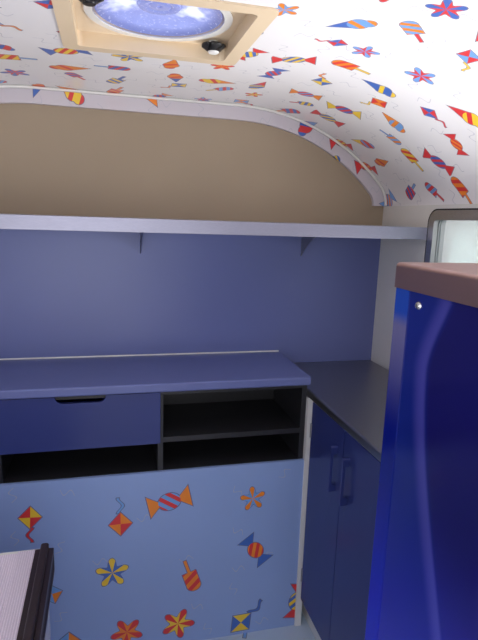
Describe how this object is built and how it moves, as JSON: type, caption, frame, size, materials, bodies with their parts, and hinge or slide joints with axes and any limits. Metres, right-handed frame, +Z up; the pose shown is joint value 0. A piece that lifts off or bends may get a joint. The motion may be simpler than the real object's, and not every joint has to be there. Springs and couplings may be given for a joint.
{
  "type": "ice cream van serving compartment",
  "caption": "Coachbuilt serving compartment of an ice cream van, off its chassis, with a coved roof, lifting roof vent, serving window, freezer, drawers and soft-serve machine.",
  "frame": {"origin": "on the floor under the chassis rails, in the middle of the body's length and width", "axes": "+X to the serving side, +Y to the rear of the body, +Z up; the open end, where the cab joins, faces -Y"},
  "size_m": [2.028, 2.64, 2.1223],
  "materials": {
    "underframe": "satin black paint",
    "wheel_box_paint": "grey primer",
    "plywood": "phenolic birch ply",
    "printed_floor_sheet": "pale blue printed safety sheet",
    "aluminium_trim": "satin anodised",
    "body_panel": "gloss white gel coat",
    "printed_sheet": "white wipe-clean sheet with a scattered print",
    "white_trim": "gloss white",
    "beige_panel": "matt beige board",
    "blue_laminate": "blue laminate",
    "cream_moulding": "ivory moulding",
    "black_plastic": "moulded black",
    "tinted_dome": "translucent periwinkle blue",
    "window_glass": "clear toughened glass",
    "shelf_board": "grey laminate",
    "brushed_steel": "brushed",
    "polished_steel": "polished",
    "dark_carcass": "black laminated board",
    "blue_front": "gloss blue",
    "freezer_enamel": "white enamel",
    "ribbed_mat": "off-white ribbed non-slip",
    "dark_rail": "dark brown and black strip",
    "white_carcass": "white melamine board",
    "machine_enamel": "grey enamel",
    "lamp_lens": "moulded red lens",
    "black_rubber": "moulded black",
    "machine_blue": "deep royal blue gloss"
  },
  "bodies": {
    "shell": {"chassis_rails": "underframe", "cross_bearers": "underframe", "wheel_boxes": "wheel_box_paint", "floor_deck": "plywood", "floor_covering": "printed_floor_sheet", "front_portal": "aluminium_trim", "wall_nearside": "body_panel", "wall_offside": "body_panel", "wall_rear": "body_panel", "roof_shell": "body_panel", "roof_lining": "printed_sheet", "rear_valance": "printed_sheet", "rear_base_panel": "printed_sheet", "lining_bead": "white_trim", "vent_ring": "white_trim", "vent_knob_caps": "white_trim", "rear_lining": "beige_panel", "rear_splashback": "blue_laminate", "vent_frame": "cream_moulding", "vent_curb": "cream_moulding", "vent_knobs": "black_plastic", "serving_window_frame": "aluminium_trim", "offside_window_frame": "aluminium_trim", "serving_window_panes": "window_glass", "offside_window_panes": "window_glass", "rear_shelf": "shelf_board", "shelf_lip": "brushed_steel", "shelf_brackets": "brushed_steel", "rear_cabinet": "dark_carcass", "rear_worktop": "blue_laminate", "freezer_body": "freezer_enamel", "freezer_back_rail": "brushed_steel", "serving_cabinet": "white_carcass", "serving_counter": "brushed_steel", "machine_cabinet": "machine_enamel", "machine_side_panel": "machine_blue", "machine_front_plate": "brushed_steel", "rear_lamps": "lamp_lens", "side_mouldings": "aluminium_trim", "arch_trims": "black_rubber", "machine_cap": "brushed_steel", "machine_head": "polished_steel", "draw_lever": "black_plastic", "drip_tray": "polished_steel"},
    "vent_lid": {"vent_dome": "tinted_dome"},
    "lid": {"freezer_lid": "freezer_enamel", "freezer_mat": "ribbed_mat", "freezer_rails": "dark_rail"},
    "left_drawer": {"drawer_left": "blue_front"},
    "middle_drawer": {"drawer_middle": "blue_front"},
    "front_door": {"cabinet_door_front": "blue_front"},
    "rear_door": {"cabinet_door_rear": "blue_front"}
  },
  "joints": [
    {"name": "vent_lift", "type": "slide", "parent": "shell", "child": "vent_lid", "axis": [0, 0, 1], "range_m": [0, 0.045]},
    {"name": "freezer_lid_hinge", "type": "hinge", "parent": "shell", "child": "lid", "pos_m": [-0.908, 0, 0.89], "axis": [0, -1, 0], "range_deg": [0, 80]},
    {"name": "drawer_left_slide", "type": "slide", "parent": "shell", "child": "left_drawer", "axis": [0, -1, 0], "range_m": [0, 0.24]},
    {"name": "drawer_middle_slide", "type": "slide", "parent": "shell", "child": "middle_drawer", "axis": [0, -1, 0], "range_m": [0, 0.24]},
    {"name": "front_door_hinge", "type": "hinge", "parent": "shell", "child": "front_door", "pos_m": [0.5537, 0.404, 0.6], "axis": [0, 0, 1], "range_deg": [0, 90]},
    {"name": "rear_door_hinge", "type": "hinge", "parent": "shell", "child": "rear_door", "pos_m": [0.5537, 0.916, 0.6], "axis": [0, 0, -1], "range_deg": [0, 90]}
  ]
}
